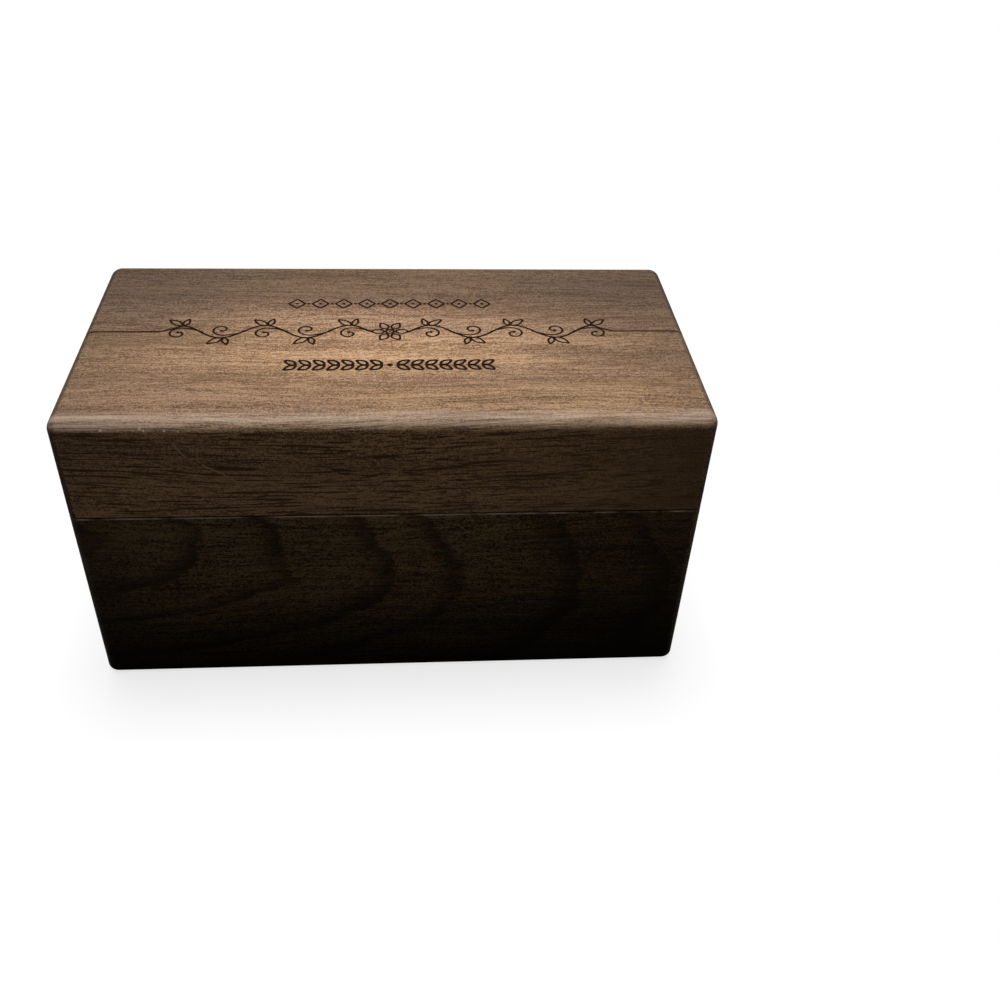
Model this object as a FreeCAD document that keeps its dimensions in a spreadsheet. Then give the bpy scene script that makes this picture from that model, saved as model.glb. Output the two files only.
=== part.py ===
import FreeCAD, Part
import os
import Sketcher

# A solid walnut keepsake box whose deep lid slides off lengthways on a sliding dovetail.
# Millimetres. The origin is the centre of the underside. +X is the way the lid slides open,
# -Y is the front and +Z is up.

SIZES = [
    # Outside of the closed box
    ("box_length", 95.0),
    ("box_depth", 48.0),
    ("base_height", 33.0),
    ("lid_height", 17.0),
    ("seam_gap", 0.2),
    ("edge_radius", 2.0),
    ("foot_radius", 1.0),
    ("arris_chamfer", 0.15),
    # Hollow of the base
    ("floor_thickness", 7.0),
    ("cavity_corner", 3.0),
    ("mouth_radius", 0.6),
    # Sliding dovetail: a raised rim on the base and a channel in the lid
    ("rim_height", 8.0),
    ("rim_side_wall", 3.5),
    ("rim_end_wall", 3.8),
    ("shoulder_width", 5.5),
    ("dovetail_angle", 12.0),
    ("side_clearance", 0.25),
    ("top_clearance", 0.4),
    ("stop_wall", 6.0),
    ("stop_gap", 0.2),
    # Disc magnets that hold the lid shut, two in the rim's end and two in the lid's stop wall
    ("magnet_diameter", 5.0),
    ("magnet_thickness", 2.0),
    ("magnet_chamfer", 0.2),
    ("magnet_spacing", 20.0),
    ("glue_gap", 0.05),
    # Ring cushion: two velvet-covered foam bars side by side on a backing card
    ("card_thickness", 1.0),
    ("cushion_gap", 0.3),
    ("bar_height", 19.5),
    ("bar_extra_radius", 1.6),
    ("velvet_thickness", 0.6),
    ("foam_gap", 0.05),
]

TOUCH = 1e-4  # how near two coordinates lie when they count as the same

doc = FreeCAD.newDocument("SlidingLidBox")
sheet = doc.addObject("Spreadsheet::Sheet", "Sizes")


def fill_sheet():
    """Writes every driving dimension to the sheet, with its alias."""
    for row, (alias, value) in enumerate(SIZES, start=1):
        sheet.set(f"A{row}", alias)
        sheet.set(f"B{row}", str(value))
        sheet.setAlias(f"B{row}", alias)
    doc.recompute()


def value_of(expression):
    """The number that an expression of sheet aliases gives now."""
    result = sheet.evalExpression(expression)
    return float(getattr(result, "Value", result))


# Places and sizes that several pieces share, as expressions of the sheet
LID_BOTTOM = "(Sizes.base_height + Sizes.seam_gap)"
LID_TOP = "(Sizes.base_height + Sizes.lid_height)"
RIM_TOP = "(Sizes.base_height + Sizes.rim_height)"
CHANNEL_TOP = f"({RIM_TOP} + Sizes.top_clearance)"
FLARE = "tan(Sizes.dovetail_angle * 1 deg)"
LEFT_END = "(-Sizes.box_length / 2)"
STOP_FACE = "(Sizes.box_length / 2 - Sizes.stop_wall)"
RIM_END = f"({STOP_FACE} - Sizes.stop_gap)"
NECK_WIDTH = "(Sizes.box_depth - 2 * Sizes.shoulder_width)"
CAVITY_LENGTH = f"(2 * ({RIM_END} - Sizes.rim_end_wall))"
CAVITY_WIDTH = f"({NECK_WIDTH} - 2 * Sizes.rim_side_wall)"
MAGNET_HEIGHT = "(Sizes.base_height + Sizes.rim_height / 2)"
MAGNET_HOLE = "(Sizes.magnet_diameter + 2 * Sizes.glue_gap)"
CARD_TOP = "(Sizes.floor_thickness + Sizes.card_thickness)"
INSERT_LENGTH = f"({CAVITY_LENGTH} - 2 * Sizes.cushion_gap)"
INSERT_WIDTH = f"({CAVITY_WIDTH} - 2 * Sizes.cushion_gap)"
BAR_WIDTH = f"(({INSERT_WIDTH} - Sizes.cushion_gap) / 2)"
BAR_PLACE = f"(({BAR_WIDTH} + Sizes.cushion_gap) / 2)"
BAR_RADIUS = "(Sizes.cavity_corner + Sizes.bar_extra_radius)"
VELVET = "Sizes.velvet_thickness"
VELVET_AND_GAP = "(Sizes.velvet_thickness + Sizes.foam_gap)"


def new_body(label):
    """An empty body named after its sub-part."""
    body = doc.addObject("PartDesign::Body", label)
    body.Label = label
    return body


def new_sketch(body, name, plane, offset):
    """A sketch on one of the body's origin planes, moved along its normal by an expression."""
    sketch = body.newObject("Sketcher::SketchObject", name)
    support = next(f for f in body.Origin.OriginFeatures if f.Role == plane)
    sketch.AttachmentSupport = (support, [""])
    sketch.MapMode = "FlatFace"
    sketch.setExpression("AttachmentOffset.Base.z", offset)
    return sketch


def bind(sketch, constraint, expression):
    """Adds a constraint whose value follows an expression."""
    index = sketch.addConstraint(constraint)
    sketch.setExpression(f"Constraints[{index}]", expression)


def polygon(body, name, plane, offset, corners):
    """A closed outline whose corners follow pairs of expressions."""
    sketch = new_sketch(body, name, plane, offset)
    points = [FreeCAD.Vector(value_of(u), value_of(v), 0) for u, v in corners]
    count = len(points)
    for i, point in enumerate(points):
        sketch.addGeometry(Part.LineSegment(point, points[(i + 1) % count]), False)
    for i in range(count):
        sketch.addConstraint(Sketcher.Constraint("Coincident", i, 2, (i + 1) % count, 1))
    for i, (u, v) in enumerate(corners):
        bind(sketch, Sketcher.Constraint("DistanceX", -1, 1, i, 1, points[i].x), u)
        bind(sketch, Sketcher.Constraint("DistanceY", -1, 1, i, 1, points[i].y), v)
    return sketch


def rectangle(body, name, offset, length, width, middle="0"):
    """A level rectangle, centred on the box's length and placed across it by an expression."""
    low_x, high_x = f"(-{length} / 2)", f"({length} / 2)"
    low_y, high_y = f"({middle} - {width} / 2)", f"({middle} + {width} / 2)"
    corners = [(low_x, low_y), (high_x, low_y), (high_x, high_y), (low_x, high_y)]
    return polygon(body, name, "XY_Plane", offset, corners)


def circles(body, name, offset, diameter, centres):
    """Circles of one diameter on a plane across the box's length."""
    sketch = new_sketch(body, name, "YZ_Plane", offset)
    radius = value_of(diameter) / 2
    for i, (u, v) in enumerate(centres):
        centre = FreeCAD.Vector(value_of(u), value_of(v), 0)
        sketch.addGeometry(Part.Circle(centre, FreeCAD.Vector(0, 0, 1), radius), False)
        bind(sketch, Sketcher.Constraint("DistanceX", -1, 1, i, 3, centre.x), u)
        bind(sketch, Sketcher.Constraint("DistanceY", -1, 1, i, 3, centre.y), v)
        bind(sketch, Sketcher.Constraint("Diameter", i, 2 * radius), diameter)
    return sketch


def pad(body, sketch, length):
    """Adds material from the sketch along its normal."""
    feature = body.newObject("PartDesign::Pad", f"{sketch.Name}_pad")
    feature.Profile = sketch
    feature.setExpression("Length", length)
    doc.recompute()


def pocket(body, sketch, depth, along_normal):
    """Cuts the sketch out of the body, and stops if the cut took nothing away."""
    before = body.Shape.Volume
    feature = body.newObject("PartDesign::Pocket", f"{sketch.Name}_pocket")
    feature.Profile = sketch
    feature.Reversed = along_normal
    feature.setExpression("Length", depth)
    doc.recompute()
    if body.Shape.Volume >= before:
        raise RuntimeError(f"{feature.Name} cuts nothing")


def middle_of(edge):
    """The point half way along an edge."""
    return edge.valueAt((edge.FirstParameter + edge.LastParameter) / 2)


def is_upright(edge):
    """True for an edge that runs straight up."""
    first, last = edge.Vertexes[0].Point, edge.Vertexes[-1].Point
    return abs(first.x - last.x) < TOUCH and abs(first.y - last.y) < TOUCH


def lies_at(edge, height):
    """True for an edge that lies level at a height, given as an expression."""
    level = value_of(height)
    return all(abs(vertex.Z - level) < TOUCH for vertex in edge.Vertexes)


def is_disc_rim(edge):
    """True for an arc of a magnet's edge."""
    return isinstance(edge.Curve, Part.Circle)


def is_on_outline(edge):
    """True for an edge within its rounding of the box's outline, seen from above."""
    point = middle_of(edge)
    near_end = abs(point.x) > value_of("Sizes.box_length / 2 - Sizes.edge_radius")
    near_side = abs(point.y) > value_of("Sizes.box_depth / 2 - Sizes.edge_radius")
    return near_end or near_side


def is_beside_neck(edge):
    """True for an edge that lies clear of the dovetail's neck and of the rim's end."""
    point = middle_of(edge)
    beside = abs(point.y) > value_of(f"{NECK_WIDTH} / 2") + TOUCH
    beyond = point.x > value_of(STOP_FACE) - TOUCH
    return beside or beyond


def is_in_cavity(edge):
    """True for an edge on the cavity's walls, seen from above."""
    point = middle_of(edge)
    inside_x = abs(point.x) < value_of(f"{CAVITY_LENGTH} / 2") + TOUCH
    inside_y = abs(point.y) < value_of(f"{CAVITY_WIDTH} / 2") + TOUCH
    return inside_x and inside_y


def dress(body, kind, name, wanted, size):
    """Rounds or chamfers the edges that pass a test, by a size that follows an expression."""
    edges = enumerate(body.Shape.Edges, start=1)
    names = [f"Edge{number}" for number, edge in edges if wanted(edge)]
    base = body.Tip
    feature = body.newObject(f"PartDesign::{kind}", name)
    feature.Base = (base, names)
    feature.setExpression("Radius" if kind == "Fillet" else "Size", size)
    doc.recompute()


def dovetail(body, name, side_gap, top):
    """The dovetail's cross-section at the left end, from the seam up to a height."""
    foot = f"({NECK_WIDTH} / 2 + {side_gap})"
    head = f"({foot} + ({top} - Sizes.base_height) * {FLARE})"
    corners = [
        (f"-{foot}", "Sizes.base_height"),
        (foot, "Sizes.base_height"),
        (head, top),
        (f"-{head}", top),
    ]
    return polygon(body, name, "YZ_Plane", LEFT_END, corners)


def magnet_holes(body, name, face, along_normal):
    """Two blind holes for disc magnets, in a face that looks along X."""
    half = "(Sizes.magnet_spacing / 2)"
    centres = [(f"-{half}", MAGNET_HEIGHT), (half, MAGNET_HEIGHT)]
    sketch = circles(body, name, face, MAGNET_HOLE, centres)
    pocket(body, sketch, "Sizes.magnet_thickness + Sizes.glue_gap", along_normal)


def make_base():
    """The hollowed block, with the dovetail rim standing round its mouth."""
    body = new_body("base")
    outline = rectangle(body, "base_outline", "0", "Sizes.box_length", "Sizes.box_depth")
    pad(body, outline, "Sizes.base_height")
    dress(body, "Fillet", "base_corners", is_upright, "Sizes.edge_radius")
    dress(body, "Fillet", "base_foot", lambda edge: lies_at(edge, "0"), "Sizes.foot_radius")
    pad(body, dovetail(body, "rim", "0", RIM_TOP), f"{RIM_END} - {LEFT_END}")

    def is_rim_arris(edge):
        is_flush_end = middle_of(edge).x < value_of(LEFT_END) + TOUCH
        return lies_at(edge, RIM_TOP) and not is_flush_end

    dress(body, "Chamfer", "rim_arris", is_rim_arris, "Sizes.arris_chamfer")
    hollow = rectangle(body, "hollow", "Sizes.floor_thickness", CAVITY_LENGTH, CAVITY_WIDTH)
    pocket(body, hollow, f"{RIM_TOP} - Sizes.floor_thickness", True)

    def is_cavity_corner(edge):
        return is_upright(edge) and is_in_cavity(edge)

    def is_mouth(edge):
        return lies_at(edge, RIM_TOP) and is_in_cavity(edge)

    def is_seam_arris(edge):
        at_seam = lies_at(edge, "Sizes.base_height")
        return at_seam and is_on_outline(edge) and is_beside_neck(edge)

    dress(body, "Fillet", "cavity_corners", is_cavity_corner, "Sizes.cavity_corner")
    dress(body, "Fillet", "cavity_mouth", is_mouth, "Sizes.mouth_radius")
    dress(body, "Chamfer", "base_arris", is_seam_arris, "Sizes.arris_chamfer")
    magnet_holes(body, "base_magnet_holes", RIM_END, False)
    return body


def make_lid():
    """The deep lid, channelled underneath from its left end to a stop wall on the right."""
    body = new_body("lid")
    outline = rectangle(body, "lid_outline", LID_BOTTOM, "Sizes.box_length", "Sizes.box_depth")
    pad(body, outline, f"{LID_TOP} - {LID_BOTTOM}")

    def is_rounded(edge):
        return is_upright(edge) or lies_at(edge, LID_TOP)

    def is_seam_arris(edge):
        return lies_at(edge, LID_BOTTOM) and is_on_outline(edge)

    dress(body, "Fillet", "lid_round_over", is_rounded, "Sizes.edge_radius")
    channel = dovetail(body, "channel", "Sizes.side_clearance", CHANNEL_TOP)
    pocket(body, channel, f"{STOP_FACE} - {LEFT_END}", True)
    dress(body, "Chamfer", "lid_arris", is_seam_arris, "Sizes.arris_chamfer")
    magnet_holes(body, "lid_magnet_holes", STOP_FACE, True)
    return body


def make_magnet(label, start, side):
    """A disc magnet that lies along X from a start face, in front of or behind the middle."""
    body = new_body(label)
    centre = (f"({side} * Sizes.magnet_spacing / 2)", MAGNET_HEIGHT)
    disc = circles(body, f"{label}_disc", start, "Sizes.magnet_diameter", [centre])
    pad(body, disc, "Sizes.magnet_thickness")
    dress(body, "Chamfer", f"{label}_edge", is_disc_rim, "Sizes.magnet_chamfer")
    return body


def make_magnets():
    """Two magnets glued in the rim's end and two in the lid's stop wall, face to face."""
    base_start = f"({RIM_END} - Sizes.magnet_thickness - Sizes.glue_gap)"
    lid_start = f"({STOP_FACE} + Sizes.glue_gap)"
    return [
        make_magnet("base_magnet_front", base_start, -1),
        make_magnet("base_magnet_back", base_start, 1),
        make_magnet("lid_magnet_front", lid_start, -1),
        make_magnet("lid_magnet_back", lid_start, 1),
    ]


def make_backing_card():
    """The card on the cavity's floor, which both bars of the cushion are glued to."""
    body = new_body("backing_card")
    outline = rectangle(
        body, "card_outline", "Sizes.floor_thickness", INSERT_LENGTH, INSERT_WIDTH
    )
    pad(body, outline, "Sizes.card_thickness")
    dress(body, "Fillet", "card_corners", is_upright, "Sizes.cavity_corner")
    return body


def bar_outline(body, name, side, inset):
    """A cushion bar's plan on the card, drawn in all round by an inset."""
    length = f"({INSERT_LENGTH} - 2 * {inset})"
    width = f"({BAR_WIDTH} - 2 * {inset})"
    return rectangle(body, name, CARD_TOP, length, width, f"({side} * {BAR_PLACE})")


def round_bar(body, name, side, inset):
    """Rounds the upright corners and the top edges of a bar that is drawn in by an inset."""
    half_length = value_of(f"{INSERT_LENGTH} / 2 - {inset}")
    half_width = value_of(f"{BAR_WIDTH} / 2 - {inset}")
    middle = value_of(f"{side} * {BAR_PLACE}")

    def is_soft(edge):
        point = middle_of(edge)
        at_end = abs(abs(point.x) - half_length) < TOUCH
        at_side = abs(abs(point.y - middle) - half_width) < TOUCH
        is_corner = is_upright(edge) and at_end and at_side
        return is_corner or lies_at(edge, f"{CARD_TOP} + Sizes.bar_height - {inset}")

    dress(body, "Fillet", name, is_soft, f"{BAR_RADIUS} - {inset}")


def rounded_bar(label, side, inset):
    """A bar of the cushion with rounded ends and top, drawn in all round by an inset."""
    body = new_body(label)
    pad(body, bar_outline(body, f"{label}_outline", side, inset), f"Sizes.bar_height - {inset}")
    round_bar(body, f"{label}_rounding", side, inset)
    return body


def make_velvet_cover(place, side):
    """The velvet drawn over one foam core, open underneath where it is glued to the card."""
    cover = doc.addObject("Part::Cut", f"velvet_cover_{place}")
    cover.Base = rounded_bar(f"velvet_{place}_outside", side, "0")
    cover.Tool = rounded_bar(f"velvet_{place}_inside", side, VELVET)
    doc.recompute()
    return cover


def make_cushion():
    """The front and back bars, which grip rings in the slot between them."""
    pieces = []
    for place, side in (("front", -1), ("back", 1)):
        pieces.append(rounded_bar(f"foam_core_{place}", side, VELVET_AND_GAP))
        pieces.append(make_velvet_cover(place, side))
    return pieces


def check(pieces):
    """Stops on a failed object, or on a shape that isn't one valid solid."""
    for item in doc.Objects:
        if "Invalid" in item.State or "Error" in item.State:
            raise RuntimeError(f"{item.Name} failed: {item.State}")
    for piece in pieces:
        shape = piece.Shape
        if shape.isNull() or not shape.isValid() or len(shape.Solids) != 1:
            raise RuntimeError(f"{piece.Label} is not one valid solid")


def export(pieces):
    """Writes each sub-part to parts/ under its label."""
    os.makedirs("parts", exist_ok=True)
    for piece in pieces:
        piece.Shape.exportStep(f"parts/{piece.Label}.step")
        box = piece.Shape.BoundBox
        size = f"{box.XLength:.2f} x {box.YLength:.2f} x {box.ZLength:.2f} mm"
        print(f"{piece.Label}: {size}, {piece.Shape.Volume:.0f} mm3")


fill_sheet()
pieces = [make_base(), make_lid(), *make_magnets(), make_backing_card(), *make_cushion()]
check(pieces)
export(pieces)
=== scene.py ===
import math

import bmesh
import bpy
import numpy as np
from mathutils import Matrix, Vector, noise
from mathutils.geometry import delaunay_2d_cdt


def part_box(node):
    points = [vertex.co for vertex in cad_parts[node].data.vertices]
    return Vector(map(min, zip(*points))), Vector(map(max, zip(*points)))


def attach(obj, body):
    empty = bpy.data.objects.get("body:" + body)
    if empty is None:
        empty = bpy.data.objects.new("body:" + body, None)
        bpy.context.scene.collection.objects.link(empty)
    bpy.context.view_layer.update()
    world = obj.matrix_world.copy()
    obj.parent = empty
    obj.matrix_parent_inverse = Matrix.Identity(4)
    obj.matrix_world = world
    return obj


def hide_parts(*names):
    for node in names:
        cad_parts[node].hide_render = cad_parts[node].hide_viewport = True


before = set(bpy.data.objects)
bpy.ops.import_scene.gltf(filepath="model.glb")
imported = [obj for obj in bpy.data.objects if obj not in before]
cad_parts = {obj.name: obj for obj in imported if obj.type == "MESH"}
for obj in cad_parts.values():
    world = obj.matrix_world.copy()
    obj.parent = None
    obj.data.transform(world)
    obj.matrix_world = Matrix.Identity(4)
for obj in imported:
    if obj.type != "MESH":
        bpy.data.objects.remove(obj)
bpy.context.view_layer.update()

# A solid walnut box whose deep engraved lid slides off lengthways. The frame is in metres.
# Names that end in _MM and the wood's own coordinates are in millimetres.
MM = 0.001

# Places nearer to each other than this, in metres, count as one
SAME_PLACE = 1e-6

# The upper corners of the two boards, read from the frame
LID_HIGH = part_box("lid")[1]
BASE_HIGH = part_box("base")[1]

HALF_LENGTH_MM = BASE_HIGH.x / MM
HALF_WIDTH_MM = BASE_HIGH.y / MM
LID_TOP_MM = LID_HIGH.z / MM

# In the solids the base's shoulder has this height, and the lid's edges are rounded to this radius
SHOULDER_MM = 33.0
EDGE_RADIUS_MM = 2.0
STRAIGHT_MM = LID_HIGH.x / MM - EDGE_RADIUS_MM

# The photograph's camera, found by fitting a pinhole camera to the box's outline
FRAME_PIXELS = 1000.0
SENSOR_MM = 36.0
CAMERA_PLACE = Vector((0.001791, -0.148035, 0.135593))
CAMERA_YAW = 0.096
CAMERA_PITCH = 0.6758
CAMERA_ROLL = -0.0467
CAMERA_CLIP = (0.01, 20.0)
FOCAL_PIXELS = 1071.2
CENTRE_X_PIXELS = 484.0


class Graph:
    """The nodes of a new material or world, with short calls that add them."""

    def __init__(self, owner):
        self.owner = owner
        owner.use_nodes = True
        self.tree = owner.node_tree
        self.tree.nodes.clear()

    @classmethod
    def of_material(cls, name):
        return cls(bpy.data.materials.new(name))

    def add(self, kind, inputs=None, **settings):
        node = self.tree.nodes.new(kind)
        for key, value in settings.items():
            setattr(node, key, value)
        for key, value in (inputs or {}).items():
            self.feed(node.inputs[key], value)
        return node

    def feed(self, socket, value):
        if isinstance(value, bpy.types.NodeSocket):
            self.tree.links.new(value, socket)
        else:
            socket.default_value = value

    def math(self, operation, first, second=0.0):
        node = self.add("ShaderNodeMath", {0: first, 1: second}, operation=operation)
        return node.outputs[0]

    def product(self, *factors):
        result = factors[0]
        for factor in factors[1:]:
            result = self.math("MULTIPLY", result, factor)
        return result

    def one_minus(self, value):
        return self.math("SUBTRACT", 1.0, value)

    def swing(self, level, gain):
        """How far a level of 0 to 1 is from its middle, times a gain."""
        return self.math("MULTIPLY", self.math("SUBTRACT", level, 0.5), gain)

    def vector(self, operation, first, second=(0.0, 0.0, 0.0)):
        node = self.add("ShaderNodeVectorMath", {0: first, 1: second}, operation=operation)
        is_number = operation in ("LENGTH", "DISTANCE", "DOT_PRODUCT")
        return node.outputs["Value" if is_number else "Vector"]

    def scaled(self, vector, factor):
        inputs = {0: vector, "Scale": factor}
        return self.add("ShaderNodeVectorMath", inputs, operation="SCALE").outputs["Vector"]

    def noise(self, place, stretch, detail=2.0, roughness=0.5):
        """Noise of about 0 to 1 whose cells measure one over stretch along each axis."""
        scaled = self.vector("MULTIPLY", place, stretch)
        inputs = {"Vector": scaled, "Scale": 1.0, "Detail": detail, "Roughness": roughness}
        return self.add("ShaderNodeTexNoise", inputs).outputs["Fac"]

    def span(self, value, low, high, to_low=0.0, to_high=1.0):
        """Maps low to high onto to_low to to_high, and holds the ends."""
        inputs = {
            "Value": value,
            "From Min": low,
            "From Max": high,
            "To Min": to_low,
            "To Max": to_high,
        }
        return self.add("ShaderNodeMapRange", inputs, clamp=True).outputs["Result"]

    def smooth(self, value, low, high):
        """0 below low, 1 above high, with soft ends between."""
        inputs = {"Value": value, "From Min": low, "From Max": high}
        node = self.add("ShaderNodeMapRange", inputs, clamp=True)
        node.interpolation_type = "SMOOTHSTEP"
        return node.outputs["Result"]

    def mix(self, factor, first, second, blend="MIX"):
        node = self.add("ShaderNodeMix", data_type="RGBA", blend_type=blend)
        colours = [socket for socket in node.inputs if socket.type == "RGBA"]
        self.feed(node.inputs["Factor"], factor)
        self.feed(colours[0], first)
        self.feed(colours[1], second)
        return next(socket for socket in node.outputs if socket.type == "RGBA")

    def ramp(self, value, stops):
        """A straight-line ramp through pairs of a place from 0 to 1 and a colour."""
        node = self.add("ShaderNodeValToRGB", {"Fac": value})
        elements = node.color_ramp.elements
        while len(elements) < len(stops):
            elements.new(0.5)
        for element, (place, colour) in zip(elements, stops):
            element.position = place
            element.color = colour
        return node.outputs["Color"]

    def bump(self, height, distance):
        inputs = {"Height": height, "Strength": 1.0, "Distance": distance}
        return self.add("ShaderNodeBump", inputs).outputs["Normal"]

    def finish(self, colour, roughness, normal, **constants):
        """The finished material. Its constants are named after the shader's sockets."""
        inputs = {"Base Color": colour, "Roughness": roughness, "Normal": normal}
        shader = self.add("ShaderNodeBsdfPrincipled", inputs)
        for key, value in constants.items():
            shader.inputs[key.replace("_", " ")].default_value = value
        self.add("ShaderNodeOutputMaterial", {"Surface": shader.outputs[0]})
        return self.owner


def rgb(red, green, blue):
    return (red, green, blue, 1.0)


def grey(level):
    return (level, level, level, 1.0)


# Walnut, as one solid texture in millimetres with the fibre along X, so that long faces show
# streaks and dashes, and end faces show rings and dots.
LID_WOOD = {
    "light": rgb(0.51, 0.315, 0.177),
    "middle": rgb(0.375, 0.226, 0.124),
    "dark": rgb(0.157, 0.087, 0.046),
    "cool_tint": rgb(0.86, 0.86, 0.93),
    "end_tint": rgb(0.42, 0.39, 0.37),
    "shine": 0.08,
    "pore": rgb(0.05, 0.022, 0.01),
    "pith": (0.0, 74.0, -66.0),
    "lean": (0.0, 0.02, 0.05),
    "ring_radii": (12.0, 26.0),
    "ring_count": 26.0,
    "ring_reach": 170.0,
    "ring_strength": 0.3,
    "pore_strength": 0.8,
    "side_contrast": 1.5,
    "left_fade": 0.0,
    "seed": 3.0,
}
BASE_WOOD = {
    "light": rgb(0.245, 0.157, 0.08),
    "middle": rgb(0.158, 0.101, 0.05),
    "dark": rgb(0.021, 0.0135, 0.007),
    "cool_tint": rgb(0.74, 0.77, 0.8),
    "end_tint": rgb(0.72, 0.7, 0.7),
    "shine": 0.04,
    "pore": rgb(0.01, 0.006, 0.003),
    "pith": (0.0, -49.0, 22.6),
    "lean": (0.0, -0.35, -0.117),
    "ring_radii": (9.2, 15.1, 19.7, 25.7, 29.6, 36.1),
    "ring_count": 20.0,
    "ring_reach": 100.0,
    "ring_strength": 0.8,
    "pore_strength": 0.34,
    "side_contrast": 1.2,
    "left_fade": 0.45,
    "seed": 11.0,
}

# The board's streaks, from broad bands to single fibres: stretch, detail and gain
GRAIN_LAYERS = (
    ((0.012, 0.16, 0.16), 1.0, 0.8),
    ((0.022, 0.55, 0.55), 2.0, 0.8),
    ((0.06, 1.7, 1.7), 2.0, 1.1),
    ((0.16, 4.2, 4.2), 2.0, 1.45),
    ((0.7, 5.5, 5.5), 2.0, 1.9),
    ((2.6, 3.6, 3.6), 1.0, 2.2),
    ((6.5, 8.5, 8.5), 0.0, 2.2),
)
GRAIN_WANDER_MM = 9.0
RING_SWAY_MM = 7.0
RING_RIPPLE_MM = 1.1
SHADE_DRIFT_MM = 14.0
SEED_STEP_MM = (37.0, 61.0, 83.0)
# Pores show less on the lid's top than on its sides: partly the board's cut, partly painted shade
# in the open pores of the sides.
TOP_PORE_STRENGTH = 0.3
FINE_PORE_SHARE = 0.7
PORE_DEPTH_MM = 0.03

# Painted shade: the sides are tinted a little warmer than the top, and darkened towards the dark
# wood near their ends
SHADED_SIDE_TINT = rgb(1.0, 0.97, 0.8)
RIGHT_FADE = 0.74
RIGHT_FADE_MM = (4.0, 52.0)
LEFT_FADE_MM = (-32.0, -46.0)

# Painted shade: the base's sides get darker from this height down to the foot
FOOT_SHADE_TOP_MM = 31.0
FOOT_SHADE = [(0.0, grey(0.05)), (0.3, grey(0.27)), (0.7, grey(0.8)), (1.0, grey(1.0))]

# The burnt floor of the engraving, in its dark and its pale fibres
CHAR_DARK = rgb(0.01, 0.003, 0.0015)
CHAR_PALE = rgb(0.032, 0.012, 0.006)

# Small pale nicks along the lid's rounded front edge, and two faint scratches on its front
SCRATCH_REACH_MM = 0.16
NICKS_MM = (
    (-39.8, -23.8, 48.7, 0.28),
    (-34.5, -23.7, 48.9, 0.33),
    (-34.0, -23.8, 48.6, 0.25),
    (-31.2, -23.8, 48.6, 0.26),
    (-29.3, -23.9, 48.5, 0.2),
    (-27.8, -23.8, 48.6, 0.2),
)
SCRATCHES_MM = (
    ((-30.3, -24.0, 46.4), (-28.9, -24.0, 44.1)),
    ((-26.6, -24.0, 42.6), (-23.2, -24.0, 40.6)),
)


def wood_place(graph, seed):
    """The shading point in millimetres, and the same point moved for a board's own noise."""
    place_mm = graph.scaled(graph.add("ShaderNodeTexCoord").outputs["Object"], 1.0 / MM)
    return place_mm, graph.vector("ADD", place_mm, Vector(SEED_STEP_MM) * seed)


def wood_rings(graph, place_mm, noise_place, wood):
    """0 in a year's first growth, rising to 1 in its dark last growth."""
    sway = graph.noise(noise_place, (0.018, 0.07, 0.07))
    ripple = graph.noise(noise_place, (0.12, 1.6, 1.6), detail=3.0)
    x_mm = graph.add("ShaderNodeSeparateXYZ", {0: place_mm}).outputs["X"]
    centre = graph.vector("ADD", graph.scaled(wood["lean"], x_mm), wood["pith"])
    offset = graph.vector("SUBTRACT", place_mm, centre)
    radius = graph.vector("LENGTH", graph.vector("MULTIPLY", offset, (0.0, 1.0, 1.0)))
    sway_mm = graph.swing(sway, RING_SWAY_MM)
    ripple_mm = graph.swing(ripple, RING_RIPPLE_MM)
    radius = graph.math("ADD", radius, graph.math("ADD", sway_mm, ripple_mm))
    years = wood["ring_count"]
    stops = [(0.0, grey(0.0))]
    for number, ring in enumerate(wood["ring_radii"], start=1):
        stops.append((ring / wood["ring_reach"], grey(number / years)))
    stops.append((1.0, grey(1.0)))
    age = graph.ramp(graph.math("DIVIDE", radius, wood["ring_reach"]), stops)
    phase = graph.math("FRACT", graph.math("MULTIPLY", age, years))
    before = graph.math("POWER", graph.smooth(phase, 0.5, 1.0), 2.0)
    after = graph.one_minus(graph.smooth(phase, 0.0, 0.07))
    broken = graph.noise(noise_place, (0.05, 0.25, 0.25))
    strength = graph.span(broken, 0.35, 0.6, 0.6, 1.0)
    return graph.product(graph.math("MAXIMUM", before, after), strength)


def near_point(graph, place_mm, x, y, z, reach):
    """1 at a point, falling to 0 at its reach."""
    gap = graph.vector("DISTANCE", place_mm, (x, y, z))
    return graph.one_minus(graph.smooth(gap, reach * 0.5, reach))


def near_line(graph, place_mm, start, end, reach):
    """1 along a straight line, falling to 0 at its reach."""
    along = Vector(end) - Vector(start)
    offset = graph.vector("SUBTRACT", place_mm, start)
    share = graph.span(graph.vector("DOT_PRODUCT", offset, along), 0.0, along.length_squared)
    gap = graph.vector("DISTANCE", offset, graph.scaled(along, share))
    return graph.one_minus(graph.smooth(gap, reach * 0.3, reach))


def wood_grain(graph, noise_place):
    """The board's streaks, about 0.5 on average, and the finest of them, its single fibres."""
    tone = 0.5
    for stretch, detail, gain in GRAIN_LAYERS:
        layer = graph.noise(noise_place, stretch, detail=detail, roughness=0.6)
        tone = graph.math("ADD", tone, graph.swing(layer, gain))
    return tone, layer


def wandered(graph, noise_place):
    """Bends the straight grain a little to and fro along the board."""
    slow = graph.vector("MULTIPLY", noise_place, (0.014, 0.04, 0.04))
    wander = graph.add("ShaderNodeTexNoise", {"Vector": slow, "Scale": 1.0, "Detail": 1.0})
    sway = graph.vector("SUBTRACT", wander.outputs["Color"], (0.5, 0.5, 0.5))
    sway_mm = graph.vector("MULTIPLY", sway, (0.0, GRAIN_WANDER_MM, GRAIN_WANDER_MM))
    return graph.vector("ADD", noise_place, sway_mm)


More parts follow.
